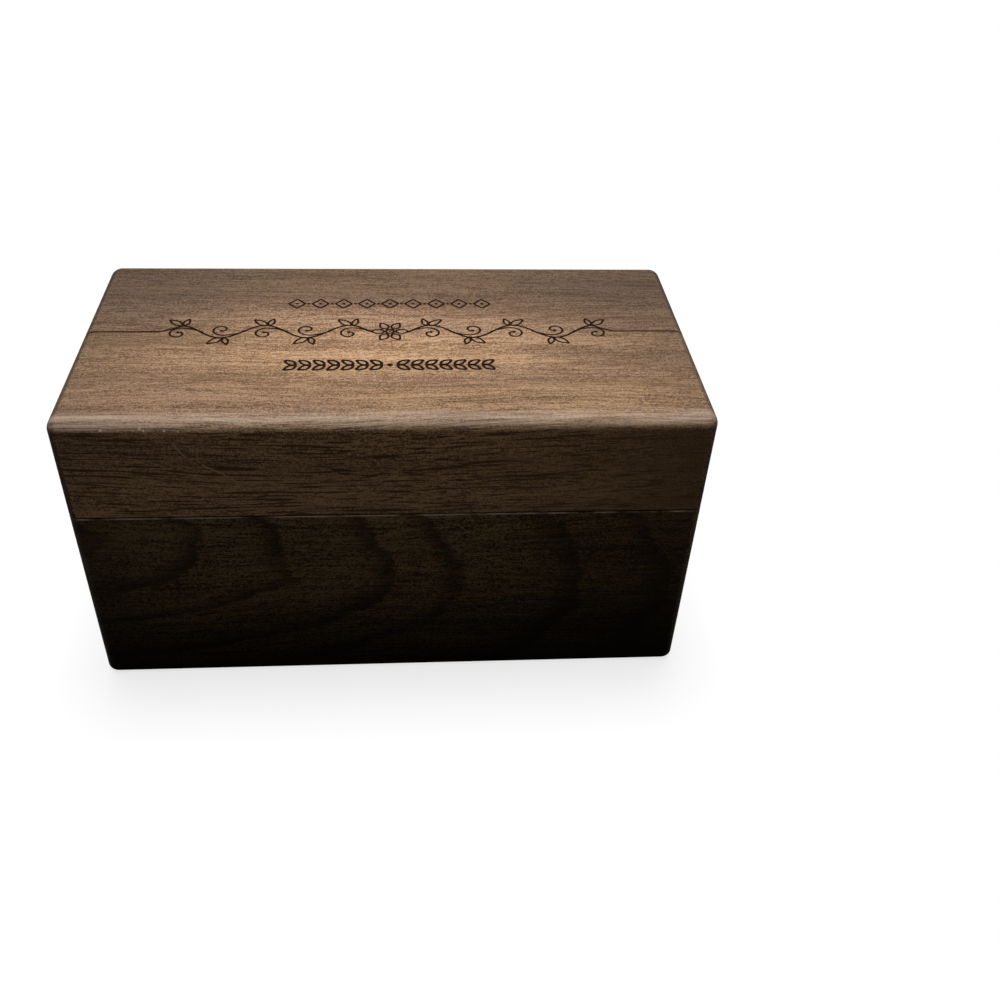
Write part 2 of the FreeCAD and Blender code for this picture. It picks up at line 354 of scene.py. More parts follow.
def wood_pores(graph, noise_place):
    """Masks of the long open pores and of the fine short ones."""
    long_noise = graph.noise(noise_place, (0.085, 2.6, 2.6), detail=1.5, roughness=0.4)
    patch = graph.noise(noise_place, (0.03, 0.22, 0.22), detail=1.0)
    level = graph.math("ADD", long_noise, graph.product(patch, 0.2))
    long_pores = graph.smooth(level, 0.66, 0.72)
    fine_noise = graph.noise(noise_place, (0.3, 5.2, 5.2), detail=1.0)
    fine_pores = graph.smooth(fine_noise, 0.56, 0.72)
    return long_pores, fine_pores


def walnut(name, wood, is_lid):
    """Satin walnut for one board, with rings, streaks, pores, a little wear, and painted shade and
    highlights.
    """
    graph = Graph.of_material(name)
    place_mm, noise_place = wood_place(graph, wood["seed"])
    split = graph.add("ShaderNodeSeparateXYZ", {0: place_mm})
    x_mm, y_mm, z_mm = (split.outputs[axis] for axis in "XYZ")
    late = wood_rings(graph, place_mm, noise_place, wood)
    noise_place = wandered(graph, noise_place)

    top = graph.smooth(z_mm, LID_TOP_MM - 2.4, LID_TOP_MM - 0.4)
    tone, fibre = wood_grain(graph, noise_place)
    contrast = graph.span(top, 0.0, 1.0, wood["side_contrast"], 1.0)
    tone = graph.math("ADD", graph.swing(tone, contrast), 0.5)
    stops = [(0.12, wood["dark"]), (0.5, wood["middle"]), (0.88, wood["light"])]
    colour = graph.ramp(tone, stops)
    cool = graph.smooth(graph.noise(noise_place, (0.012, 0.07, 0.07)), 0.42, 0.66)
    colour = graph.mix(cool, colour, wood["cool_tint"], blend="MULTIPLY")
    colour = graph.mix(graph.product(late, wood["ring_strength"]), colour, wood["dark"])

    long_pores, fine_pores = wood_pores(graph, noise_place)
    strength = graph.span(top, 0.0, 1.0, wood["pore_strength"], TOP_PORE_STRENGTH)
    colour = graph.mix(graph.product(long_pores, strength), colour, wood["pore"])
    fine_share = graph.product(fine_pores, strength, FINE_PORE_SHARE)
    colour = graph.mix(fine_share, colour, wood["pore"])

    facing = graph.add("ShaderNodeTexCoord").outputs["Normal"]
    facing = graph.add("ShaderNodeSeparateXYZ", {0: facing})
    # Faces across the fibre are darker: partly the end grain's own colour, partly painted shade on
    # the rounded ends, most at the left end.
    end_grain = graph.smooth(graph.math("ABSOLUTE", facing.outputs["X"]), 0.27, 0.46)
    end_share = graph.product(end_grain, graph.span(x_mm, -40.0, 40.0, 1.0, 0.7))
    colour = graph.mix(end_share, colour, wood["end_tint"], blend="MULTIPLY")
    # Painted shade on the sides towards their ends, and a warmer tint for the shaded sides.
    on_side = graph.one_minus(graph.math("MAXIMUM", top, end_grain))
    right = graph.product(graph.smooth(x_mm, *RIGHT_FADE_MM), RIGHT_FADE)
    left = graph.product(graph.smooth(x_mm, *LEFT_FADE_MM), wood["left_fade"])
    painted_side_shade = graph.product(graph.math("MAXIMUM", right, left), on_side)
    colour = graph.mix(painted_side_shade, colour, wood["dark"])
    colour = graph.mix(on_side, colour, SHADED_SIDE_TINT, blend="MULTIPLY")

    sunk = graph.math("ADD", long_pores, graph.product(fine_pores, 0.4))
    height = graph.math("SUBTRACT", graph.product(fibre, 0.5), sunk)
    normal = graph.bump(height, PORE_DEPTH_MM * MM)
    roughness = graph.span(tone, 0.2, 0.8, 0.52, 0.42)
    if is_lid:
        # Painted light on the lid's top: partly the board's tone, partly painted shade and a
        # painted pool of light.
        shade = lid_tone_and_painted_light(graph, x_mm, y_mm, noise_place)
        colour = graph.mix(1.0, colour, shade, blend="MULTIPLY")
        colour = lid_highlight_and_wear(graph, place_mm, y_mm, z_mm, colour)
        burn = graph.add("ShaderNodeAttribute", attribute_name="burn").outputs["Fac"]
        colour = graph.mix(burn, colour, graph.mix(fibre, CHAR_DARK, CHAR_PALE))
        roughness = graph.math("ADD", roughness, graph.product(burn, 0.3))
    else:
        # Painted shade on the base's sides, darker towards the floor, but not on its underside.
        shade = graph.ramp(graph.span(z_mm, 0.0, FOOT_SHADE_TOP_MM), FOOT_SHADE)
        not_under = graph.smooth(facing.outputs["Z"], -0.9, -0.5)
        colour = graph.mix(not_under, colour, shade, blend="MULTIPLY")
        colour = base_highlights_wear_and_dust(graph, place_mm, x_mm, y_mm, z_mm, colour)
    return graph.finish(colour, roughness, normal, Specular_IOR_Level=wood["shine"])


def lid_tone_and_painted_light(graph, x_mm, y_mm, noise_place):
    """Darkens the lid's top along its back, its front edge and its ends, and lightens a patch in
    its middle: partly the board's own tone, partly painted shade and a painted pool of light.
    """
    drift_mm = graph.swing(graph.noise(noise_place, (0.012, 0.12, 0.12)), SHADE_DRIFT_MM)
    depth = graph.math("ADD", y_mm, drift_mm)
    from_middle = graph.math("ABSOLUTE", x_mm)
    inner = graph.smooth(depth, -20.0, -6.0)
    back = graph.product(graph.smooth(depth, -8.0, 20.0), 0.5)
    front = graph.product(graph.one_minus(inner), 0.12)
    side = graph.product(graph.smooth(from_middle, 8.0, 48.0), inner, 0.22)
    level = graph.one_minus(graph.math("ADD", back, graph.math("ADD", front, side)))
    # A painted pool of light in the middle of the top, towards its front.
    near_middle = graph.one_minus(graph.smooth(from_middle, 6.0, 36.0))
    pale_patch = graph.one_minus(graph.smooth(depth, 3.0, 15.0))
    level = graph.math("ADD", level, graph.product(near_middle, inner, pale_patch, 0.36))
    by_end = graph.smooth(from_middle, 32.0, 46.0)
    before_back = graph.one_minus(graph.smooth(depth, -2.0, 12.0))
    level = graph.math("SUBTRACT", level, graph.product(by_end, before_back, 0.16))
    return graph.add("ShaderNodeCombineColor", {0: level, 1: level, 2: level}).outputs[0]


def lid_highlight_and_wear(graph, place_mm, y_mm, z_mm, colour):
    """The lid's rounded front edge gets a painted highlight in pale streaks, with nicks and faint
    scratches near it.
    """
    # Painted highlight: pale streaks along the upper part of the rounded front edge, where the
    # lamp would glint.
    forward = graph.smooth(y_mm, 3.6 - HALF_WIDTH_MM, 1.1 - HALF_WIDTH_MM)
    high = graph.smooth(z_mm, LID_TOP_MM - 1.7, LID_TOP_MM - 0.5)
    streaks = graph.noise(place_mm, (0.09, 1.5, 1.5), detail=4.0, roughness=0.65)
    streaked_highlight = graph.product(forward, high, graph.span(streaks, 0.36, 0.62, 0.06, 0.42))
    colour = graph.mix(streaked_highlight, colour, rgb(0.66, 0.52, 0.42))
    marks = 0.0
    for x, y, z, reach in NICKS_MM:
        marks = graph.math("MAXIMUM", marks, near_point(graph, place_mm, x, y, z, reach))
    colour = graph.mix(graph.product(marks, 0.75), colour, rgb(0.6, 0.52, 0.42))
    for start, end in SCRATCHES_MM:
        line = near_line(graph, place_mm, start, end, SCRATCH_REACH_MM)
        colour = graph.mix(graph.product(line, 0.3), colour, rgb(0.75, 0.6, 0.42))
    return colour


def base_highlights_wear_and_dust(graph, place_mm, x_mm, y_mm, z_mm, colour):
    """The base's upper arris is pale, partly wear and partly a painted highlight; its vertical
    corners get a painted reflection, and a few specks of dust lie on its sides.
    """
    out_x, out_y = graph.math("ABSOLUTE", x_mm), graph.math("ABSOLUTE", y_mm)
    above = graph.smooth(z_mm, SHOULDER_MM - 0.18, SHOULDER_MM - 0.1)
    below = graph.smooth(z_mm, SHOULDER_MM + 0.06, SHOULDER_MM + 0.02)
    past_end = graph.smooth(out_x, HALF_LENGTH_MM - 0.2, HALF_LENGTH_MM - 0.1)
    past_side = graph.smooth(out_y, HALF_WIDTH_MM - 0.2, HALF_WIDTH_MM - 0.1)
    # The pale arris: partly wear, partly a painted highlight where the edge would catch the light.
    streaked_highlight = graph.smooth(graph.noise(place_mm, (0.22, 0.22, 0.0)), 0.34, 0.56)
    arris = graph.product(above, below, graph.math("MAXIMUM", past_end, past_side), streaked_highlight)
    colour = graph.mix(arris, colour, rgb(0.62, 0.52, 0.4))
    # Painted reflection: a pale grey band down each vertical corner of the base.
    corner_x = graph.smooth(out_x, HALF_LENGTH_MM - 1.3, HALF_LENGTH_MM - 0.5)
    corner_y = graph.smooth(out_y, HALF_WIDTH_MM - 1.4, HALF_WIDTH_MM - 0.7)
    corner_reflection = graph.product(corner_x, corner_y, 0.22)
    colour = graph.mix(corner_reflection, colour, rgb(0.16, 0.16, 0.15))
    cells = graph.scaled(place_mm, 0.11)
    specks = graph.add("ShaderNodeTexVoronoi", {"Vector": cells, "Scale": 1.0})
    speck = graph.math("LESS_THAN", specks.outputs["Distance"], 0.012)
    return graph.mix(graph.product(speck, 0.4), colour, rgb(0.5, 0.42, 0.34))


def nickel():
    """Plated magnet, bright with faint lapping marks and scuffs."""
    graph = Graph.of_material("nickel")
    noise_place = wood_place(graph, 5.0)[1]
    scuff = graph.noise(noise_place, (2.0, 2.0, 2.0), detail=4.0, roughness=0.7)
    colour = graph.mix(scuff, rgb(0.62, 0.6, 0.57), rgb(0.8, 0.79, 0.76))
    roughness = graph.span(scuff, 0.3, 0.75, 0.16, 0.36)
    return graph.finish(colour, roughness, graph.bump(scuff, 0.01 * MM), Metallic=1.0)


def velvet():
    """Short charcoal pile with a pale sheen and brushed patches."""
    graph = Graph.of_material("velvet")
    noise_place = wood_place(graph, 7.0)[1]
    pile = graph.noise(noise_place, (5.0, 5.0, 5.0), detail=3.0, roughness=0.75)
    brushed = graph.noise(noise_place, (0.09, 0.2, 0.2), detail=3.0, roughness=0.6)
    patches = graph.product(graph.smooth(brushed, 0.44, 0.62), 0.45)
    shade = graph.math("ADD", patches, graph.span(pile, 0.3, 0.75))
    stops = [
        (0.1, rgb(0.003, 0.003, 0.0036)),
        (0.6, rgb(0.013, 0.0125, 0.015)),
        (1.0, rgb(0.042, 0.041, 0.047)),
    ]
    colour = graph.ramp(shade, stops)
    constants = {"Specular_IOR_Level": 0.05, "Sheen_Weight": 0.45, "Sheen_Roughness": 0.3}
    return graph.finish(colour, 0.9, graph.bump(pile, 0.4 * MM), **constants)


def card():
    """Pressed grey-brown card with short fibres."""
    graph = Graph.of_material("card")
    noise_place = wood_place(graph, 9.0)[1]
    flecks = graph.noise(noise_place, (1.2, 2.6, 5.0), detail=4.0, roughness=0.7)
    colour = graph.ramp(flecks, [(0.35, rgb(0.24, 0.19, 0.135)), (0.65, rgb(0.42, 0.345, 0.25))])
    return graph.finish(colour, 0.85, graph.bump(flecks, 0.06 * MM), Specular_IOR_Level=0.2)


def foam():
    """Open-cell foam."""
    graph = Graph.of_material("foam")
    place = graph.scaled(wood_place(graph, 13.0)[1], 2.2)
    cells = graph.add("ShaderNodeTexVoronoi", {"Vector": place, "Scale": 1.0}).outputs["Distance"]
    colour = graph.ramp(cells, [(0.1, rgb(0.32, 0.31, 0.29)), (0.6, rgb(0.66, 0.64, 0.6))])
    return graph.finish(colour, 0.95, graph.bump(cells, 0.2 * MM), Specular_IOR_Level=0.1)


def paint_cad(node_name, material):
    """Gives a CAD node that stays as it is its finished material."""
    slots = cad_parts[node_name].data.materials
    slots.clear()
    slots.append(material)


def make_camera():
    """The camera at the photograph's viewing angle."""
    yaw, pitch, roll = CAMERA_YAW, CAMERA_PITCH, CAMERA_ROLL
    level = math.cos(pitch)
    forward = Vector((math.sin(yaw) * level, math.cos(yaw) * level, -math.sin(pitch)))
    right = forward.cross(Vector((0.0, 0.0, 1.0))).normalized()
    down = forward.cross(right)
    tilted_right = math.cos(roll) * right + math.sin(roll) * down
    tilted_down = math.cos(roll) * down - math.sin(roll) * right
    data = bpy.data.cameras.new("camera")
    data.sensor_width = SENSOR_MM
    data.lens = FOCAL_PIXELS * SENSOR_MM / FRAME_PIXELS
    data.shift_x = (FRAME_PIXELS / 2 - CENTRE_X_PIXELS) / FRAME_PIXELS
    data.clip_start, data.clip_end = CAMERA_CLIP
    camera = bpy.data.objects.new("camera", data)
    turn = Matrix((tilted_right, -tilted_down, -forward)).transposed()
    camera.matrix_world = Matrix.Translation(CAMERA_PLACE) @ turn.to_4x4()
    bpy.context.collection.objects.link(camera)
    bpy.context.scene.camera = camera


# The light is a wide soft source high above and a little behind
LAMP_STRENGTH = 3.2
LAMP_SPREAD = math.radians(26)
LAMP_TILT = math.radians(8)
LAMP_PLACE = (0.0, 0.1, 0.9)
WORLD_FILL = 0.07


def make_lights():
    """One soft lamp overhead, and a dim world that is white only where it is looked at."""
    lamp = bpy.data.lights.new("overhead", "SUN")
    lamp.energy = LAMP_STRENGTH
    lamp.angle = LAMP_SPREAD
    holder = bpy.data.objects.new("overhead", lamp)
    holder.rotation_euler = (-LAMP_TILT, 0.0, 0.0)
    holder.location = LAMP_PLACE
    bpy.context.collection.objects.link(holder)

    world = bpy.data.worlds.new("studio")
    bpy.context.scene.world = world
    graph = Graph(world)
    path = graph.add("ShaderNodeLightPath").outputs
    seen = graph.math("MAXIMUM", path["Is Camera Ray"], path["Is Transmission Ray"])
    seen = graph.math("MAXIMUM", seen, path["Is Glossy Ray"])
    fill = graph.add("ShaderNodeBackground", {"Color": grey(1.0), "Strength": WORLD_FILL})
    white = graph.add("ShaderNodeBackground", {"Color": grey(1.0), "Strength": 1.0})
    mixed = graph.add("ShaderNodeMixShader", {0: seen, 1: fill.outputs[0], 2: white.outputs[0]})
    graph.add("ShaderNodeOutputWorld", {"Surface": mixed.outputs[0]})


# The share of the floor that shines white to the camera, which leaves the rest for the shadow,
# how much light it sends back, and how bright it is in a reflection
FLOOR_GLOW = 0.75
FLOOR_BOUNCE = 0.14
FLOOR_GLOSS = 0.05
FLOOR_REACH = 3.0


def make_floor():
    """A plain floor that looks white with a soft shadow, and sends little light back up."""
    graph = Graph.of_material("floor")
    path = graph.add("ShaderNodeLightPath").outputs
    seen = graph.math("MAXIMUM", path["Is Camera Ray"], path["Is Transmission Ray"])
    lit = graph.mix(path["Is Glossy Ray"], grey(FLOOR_BOUNCE), grey(FLOOR_GLOSS))
    lit = graph.mix(seen, lit, grey(1.0))
    matt = graph.add("ShaderNodeBsdfDiffuse", {"Color": lit})
    glow = graph.add("ShaderNodeEmission", {"Color": grey(1.0), "Strength": 1.0})
    share = graph.product(seen, FLOOR_GLOW)
    both = graph.add("ShaderNodeMixShader", {0: share, 1: matt.outputs[0], 2: glow.outputs[0]})
    graph.add("ShaderNodeOutputMaterial", {"Surface": both.outputs[0]})
    mesh = bpy.data.meshes.new("floor")
    turns = ((-1, -1), (1, -1), (1, 1), (-1, 1))
    corners = [(x * FLOOR_REACH, y * FLOOR_REACH, 0.0) for x, y in turns]
    mesh.from_pydata(corners, [], [(0, 1, 2, 3)])
    mesh.materials.append(graph.owner)
    floor = bpy.data.objects.new("floor", mesh)
    bpy.context.collection.objects.link(floor)


# The engraving: strokes cut into the lid's top, in millimetres from its middle. The scorched
# halo lies outside a groove's edge, and the flat of its floor takes up a share of its width.
GROOVE_DEPTH_MM = 0.28
HALO_MM = 0.08
GROOVE_FLOOR_SHARE = 0.55
STEP_MM = 0.3


class Stroke:
    """One engraved stroke: its middle line, half its width, and whether it closes on itself."""

    def __init__(self, points, half_width, closed=False):
        self.points = np.array(points, dtype=float).reshape(-1, 2)
        self.half_width = half_width
        self.closed = closed


def even_steps(points, closed=False):
    """The same line with points about one step apart."""
    points = np.array(points, dtype=float)
    if closed:
        points = np.vstack([points, points[:1]])
    lengths = np.hypot(*np.diff(points, axis=0).T)
    along = np.concatenate([[0.0], np.cumsum(lengths)])
    count = max(2, int(round(along[-1] / STEP_MM)) + 1)
    places = np.linspace(0.0, along[-1], count)
    even = np.column_stack([np.interp(places, along, points[:, i]) for i in (0, 1)])
    return even[:-1] if closed else even


def turned(points, angle, x=0.0, y=0.0):
    """Points turned about the origin and then moved."""
    points = np.array(points, dtype=float)
    cos, sin = math.cos(angle), math.sin(angle)
    return points @ np.array([[cos, sin], [-sin, cos]]) + (x, y)


def leaf(length, width, half_width, angle, x, y):
    """A pointed leaf's outline, with its stalk end at x, y."""
    t = np.linspace(0.0, 1.0, 24)
    side = width / 2 * np.sin(math.pi * t**0.8) ** 1.15
    upper = np.column_stack([t * length, side])
    lower = np.column_stack([t[::-1] * length, -side[::-1]])[1:-1]
    outline = turned(np.vstack([upper, lower]), angle, x, y)
    return Stroke(even_steps(outline, closed=True), half_width, closed=True)


def ring(radius, half_width, x, y):
    """A circle."""
    t = np.linspace(0.0, 2 * math.pi, 40, endpoint=False)
    circle = np.column_stack([x + radius * np.cos(t), y + radius * np.sin(t)])
    return Stroke(even_steps(circle, closed=True), half_width, closed=True)


def dot(radius, x, y):
    """A round dimple."""
    return Stroke([(x, y)], radius)


# The middle band: a waving stem whose branches wind up in its hollows
STEM_HALF_WIDTH_MM = 0.17
FINE_HALF_WIDTH_MM = 0.14
BOLD_HALF_WIDTH_MM = 0.18
STEM_PAST_END_MM = 1.7
SCROLL_START_MM = 3.1
SCROLL_WAVE_MM = 6.6
SCROLL_COUNT = 5
SCROLL_SWAY_MM = 1.9
SCROLL_MIDDLE_MM = 1.0
SCROLL_HALF_TURNS = 2.5
SCROLL_RADIUS_MM = 1.85
SCROLL_TIGHTENS = 0.8
SCROLL_FLARE_MM = 1.8
SCROLL_FLARE_FADE = 2.2
SCROLL_DROP_MM = 0.6
SCROLL_START_ANGLE = math.radians(172)


def mirrored(stroke):
    """The same stroke on the lid's other end."""
    return Stroke(stroke.points * (-1.0, 1.0), stroke.half_width, stroke.closed)


def scroll_branch(crest, up):
    """A branch that leaves the stem before a crest and winds up in the hollow under it."""
    s = np.linspace(0.0, 1.0, 90)
    turned_by = s * SCROLL_HALF_TURNS * math.pi
    flare = SCROLL_FLARE_MM * np.exp(-SCROLL_FLARE_FADE * turned_by)
    radius = SCROLL_RADIUS_MM * (1.0 - SCROLL_TIGHTENS * s) + flare
    angle = SCROLL_START_ANGLE - turned_by
    x = crest + radius * np.cos(angle)
    y = -SCROLL_DROP_MM + radius * np.sin(angle)
    line = np.column_stack([x, SCROLL_MIDDLE_MM + up * y])
    bud = dot(0.27, *line[-1])
    return [Stroke(even_steps(line), FINE_HALF_WIDTH_MM), bud]


def scroll_band():
    """A waving stem that runs out over both ends of the lid, with a scroll in each hollow."""
    x = np.arange(SCROLL_START_MM, STRAIGHT_MM + STEM_PAST_END_MM, STEP_MM)
    along = (x - SCROLL_START_MM) / SCROLL_WAVE_MM
    wave = np.where(along < SCROLL_COUNT, np.sin(math.pi * along), 0.0)
    settle = np.clip((SCROLL_COUNT - along) / 0.6, 0.0, 1.0)
    stem = np.column_stack([x, SCROLL_MIDDLE_MM + SCROLL_SWAY_MM * wave * settle])
    half = [Stroke(stem, STEM_HALF_WIDTH_MM)]
    for number in range(SCROLL_COUNT):
        up = 1 if number % 2 == 0 else -1
        crest = SCROLL_START_MM + SCROLL_WAVE_MM * (number + 0.5)
        half += scroll_branch(crest, up)
        crest_y = SCROLL_MIDDLE_MM + up * SCROLL_SWAY_MM
        half.append(leaf(2.9, 1.2, FINE_HALF_WIDTH_MM, up * 0.7, crest - 0.3, crest_y))
        half.append(leaf(2.2, 0.95, FINE_HALF_WIDTH_MM, up * 1.85, crest - 0.6, crest_y))
    return half + [mirrored(stroke) for stroke in half]


def rosette(x, y):
    """A six-petalled flower."""
    strokes = [ring(0.62, FINE_HALF_WIDTH_MM, x, y), dot(0.2, x, y)]
    for petal in range(6):
        angle = petal * math.pi / 3
        start_x = x + 0.85 * math.cos(angle)
        start_y = y + 0.85 * math.sin(angle)
        strokes.append(leaf(2.2, 1.35, FINE_HALF_WIDTH_MM, angle, start_x, start_y))
    return strokes


def lozenge_band(y, reach, count):
    """Thin lozenges in a row, with dots between them."""
    strokes = []
    pitch = 2 * reach / count
    for number in range(count):
        x = -reach + pitch * (number + 0.5)
        half_x, half_y = pitch * 0.36, 1.5
        corners = [(x - half_x, y), (x, y + half_y), (x + half_x, y), (x, y - half_y)]
        strokes.append(Stroke(even_steps(corners, closed=True), 0.15, closed=True))
        strokes.append(dot(0.26, x, y))
        if number:
            strokes.append(dot(0.24, x - pitch / 2, y))
    return strokes


def laurel_band(y, reach, count):
    """Pairs of small bold leaves that point outwards from a dot in the middle."""
    strokes = [dot(0.42, 0.0, y)]
    pitch = reach / count
    for number in range(count):
        for outward in (-1, 1):
            x = outward * (pitch * number + 1.2)
            for up in (-1, 1):
                angle = up * 0.62 if outward > 0 else math.pi - up * 0.62
                strokes.append(leaf(2.2, 1.05, BOLD_HALF_WIDTH_MM, angle, x, y + up * 0.12))
    return strokes


def engraving():
    """Every stroke on the lid's top."""
    strokes = scroll_band() + rosette(0.0, SCROLL_MIDDLE_MM)
    strokes += lozenge_band(y=10.0, reach=17.0, count=9)
    strokes += laurel_band(y=-9.0, reach=15.0, count=7)
    return strokes


def round_cap(end, side, along, reach):
    """Points round the end of a stroke, from its side over its tip."""
    turn = np.linspace(0.0, math.pi, 7)[1:-1]
    return [end + reach * (side * math.cos(a) + along * math.sin(a)) for a in turn]


def loops_at(stroke, reach):
    """The closed lines that run round a stroke at a distance from its middle line."""
    points = stroke.points
    if len(points) == 1:
        t = np.linspace(0.0, 2 * math.pi, 14, endpoint=False)
        return [points[0] + reach * np.column_stack([np.cos(t), np.sin(t)])]
    if stroke.closed:
        along = np.roll(points, -1, axis=0) - np.roll(points, 1, axis=0)
    else:
        along = np.gradient(points, axis=0)
    along /= np.hypot(along[:, 0], along[:, 1])[:, None]
    side = np.column_stack([-along[:, 1], along[:, 0]])
    left, right = points + side * reach, points - side * reach
    if stroke.closed:
        return [left, right]
    end_cap = round_cap(points[-1], side[-1], along[-1], reach)
    start_cap = round_cap(points[0], -side[0], -along[0], reach)
    return [np.vstack([left, end_cap, right[::-1], start_cap])]


def stroke_loops(stroke):
    """Closed lines round a stroke: where its floor ends, its edges, and the plain wood beyond."""
    half = stroke.half_width
    reaches = (GROOVE_FLOOR_SHARE * half, half, half + HALO_MM)
    return [loop for reach in reaches for loop in loops_at(stroke, reach)]


def stroke_fields(strokes, points):
    """For each point: how deep the engraving is there, and how burnt the wood."""
    deep = np.zeros(len(points))
    burnt = np.zeros(len(points))
    for stroke in strokes:
        line = stroke.points
        ends = np.roll(line, -1, axis=0) if stroke.closed else line[1:]
        starts = line if stroke.closed else line[:-1]
        if len(line) == 1:
            starts = ends = line
        low = line.min(axis=0) - 1.0
        high = line.max(axis=0) + 1.0
        near = np.all((points > low) & (points < high), axis=1)
        if not near.any():
            continue
        span = ends - starts
        size = np.maximum((span**2).sum(axis=1), 1e-12)
        offset = points[near][:, None, :] - starts[None, :, :]
        share = np.clip((offset * span[None]).sum(axis=2) / size[None], 0.0, 1.0)
        gap = np.hypot(*np.moveaxis(offset - share[..., None] * span[None], 2, 0)).min(axis=1)
        inside = np.clip(1.0 - (gap / stroke.half_width) ** 4, 0.0, 1.0)
        deep[near] = np.maximum(deep[near], GROOVE_DEPTH_MM * inside)
        halo = np.clip((stroke.half_width + HALO_MM - gap) / HALO_MM, 0.0, 1.0)
        burnt[near] = np.maximum(burnt[near], halo)
    return deep, burnt


def unroll(place):
    """A point of the lid's top or rounded ends, laid out flat in millimetres."""
    x, y, z = place.x / MM, place.y / MM, place.z / MM
    if abs(x) <= STRAIGHT_MM:
        return (x, y)
    angle = math.atan2(abs(x) - STRAIGHT_MM, z - (LID_TOP_MM - EDGE_RADIUS_MM))
    return (math.copysign(STRAIGHT_MM + EDGE_RADIUS_MM * angle, x), y)


def roll_back(u, v, deep):
    """The place on the lid of a flat point, sunk by a depth."""
    if abs(u) <= STRAIGHT_MM:
        return Vector((u, v, LID_TOP_MM - deep)) * MM
    angle = (abs(u) - STRAIGHT_MM) / EDGE_RADIUS_MM
    radius = EDGE_RADIUS_MM - deep
    x = STRAIGHT_MM + radius * math.sin(angle)
    z = LID_TOP_MM - EDGE_RADIUS_MM + radius * math.cos(angle)
    return Vector((math.copysign(x, u), v, z)) * MM


def open_top(shape):
    """Takes the flat top and the straight parts of the rounded ends off the lid."""
    side = LID_HIGH.y - EDGE_RADIUS_MM * MM + SAME_PLACE
    level = LID_HIGH.z - EDGE_RADIUS_MM * MM - SAME_PLACE

    def is_top(face):
        return all(abs(v.co.y) < side and v.co.z > level for v in face.verts)

    gone = [face for face in shape.faces if is_top(face)]
    bmesh.ops.delete(shape, geom=gone, context="FACES")


def rim_of(shape):
    """The vertices round the opening, in order."""
    edges = [edge for edge in shape.edges if edge.is_boundary]
    links = {}
    for edge in edges:
        for one, other in (edge.verts, reversed(edge.verts)):
            links.setdefault(one, []).append(other)
    start = edges[0].verts[0]
    ordered = [start]
    previous, current = start, links[start][0]
    while current is not start:
        ordered.append(current)
        ahead = [v for v in links[current] if v is not previous]
        previous, current = current, ahead[0]
    return ordered


def rim_edges(flat):
    """The laid out rim's own edges, and straight lines across it where its ends are rounded."""
    edges = [(i, (i + 1) % len(flat)) for i in range(len(flat))]
    front = {round(u, 3): i for i, (u, v) in enumerate(flat) if v < 0}
    for i, (u, v) in enumerate(flat):
        partner = front.get(round(u, 3))
        if v > 0 and partner is not None and abs(u) < max(front) - 0.01:
            edges.append((i, partner))
    return edges


def add_stroke_lines(stroke, points, edges):
    """Adds a stroke's middle line and the loops round it to the flat drawing."""
    lines = stroke_loops(stroke) + [stroke.points]
    for number, line in enumerate(lines):
        first, count = len(points), len(line)
        points += [tuple(point) for point in line]
        edges += [(first + i, first + i + 1) for i in range(count - 1)]
        is_loop = stroke.closed or number < len(lines) - 1
        if is_loop and count > 2:
            edges.append((first + count - 1, first))


def close_top(shape, burn):
    """Fills the opening with a skin that sinks into every stroke and records where it is burnt."""
    rim = rim_of(shape)
    points = [unroll(vertex.co) for vertex in rim]
    edges = rim_edges(points)
    strokes = engraving()
    for stroke in strokes:
        add_stroke_lines(stroke, points, edges)
    outline = [tuple(range(len(rim)))]
    made = delaunay_2d_cdt([Vector(p) for p in points], edges, outline, 1, 1e-5)
    flat_points = np.array([(p.x, p.y) for p in made[0]])
    deep, burnt = stroke_fields(strokes, flat_points)
    vertices = []
    for i, sources in enumerate(made[3]):
        on_rim = [s for s in sources if s < len(rim)]
        if on_rim:
            vertices.append(rim[on_rim[0]])
            continue
        vertex = shape.verts.new(roll_back(flat_points[i][0], flat_points[i][1], deep[i]))
        vertex[burn] = burnt[i]
        vertices.append(vertex)
    for face in made[2]:
        corners = [vertices[i] for i in face]
        if len(set(corners)) == len(corners):
            shape.faces.new(corners)


def make_lid(material):
    """The lid with its top cut by the engraving, in place of the CAD node."""
    shape = bmesh.new()
    shape.from_mesh(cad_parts["lid"].data)
    burn = shape.verts.layers.float.new("burn")
    bmesh.ops.remove_doubles(shape, verts=shape.verts, dist=SAME_PLACE)
    open_top(shape)
    close_top(shape, burn)
    bmesh.ops.recalc_face_normals(shape, faces=shape.faces)
    mesh = bpy.data.meshes.new("engraved_lid")
    shape.to_mesh(mesh)
    shape.free()
    mesh.shade_smooth()
    mesh.set_sharp_from_angle(angle=math.radians(40))
    mesh.materials.clear()
    mesh.materials.append(material)
    lid = bpy.data.objects.new("engraved_lid", mesh)
    bpy.context.collection.objects.link(lid)
    weights = lid.modifiers.new("even_shading", "WEIGHTED_NORMAL")
    weights.mode = "FACE_AREA"
    weights.weight = 100
    weights.keep_sharp = True
    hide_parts("lid")
    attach(lid, "box_lid")


# The ring cushion: two soft bars side by side, with a slot between them that grips the rings
BAR_STATIONS = 97
BAR_AROUND = 72
BAR_SQUARENESS = 2.7
BAR_FOOT_SHARE = 0.93
BAR_END_ROUND_MM = 4.2
BAR_END_POWER = 0.62
BAR_PINCH_DOWN = 0.9
BAR_PINCH_IN = 0.62
BAR_SAG_MM = 0.7

# The stuffing's lumps, as cells per millimetre and height, and how far the skin lies in on average
BAR_LUMPS = ((0.11, 0.28), (0.3, 0.1))
BAR_SUNK_MM = 0.3

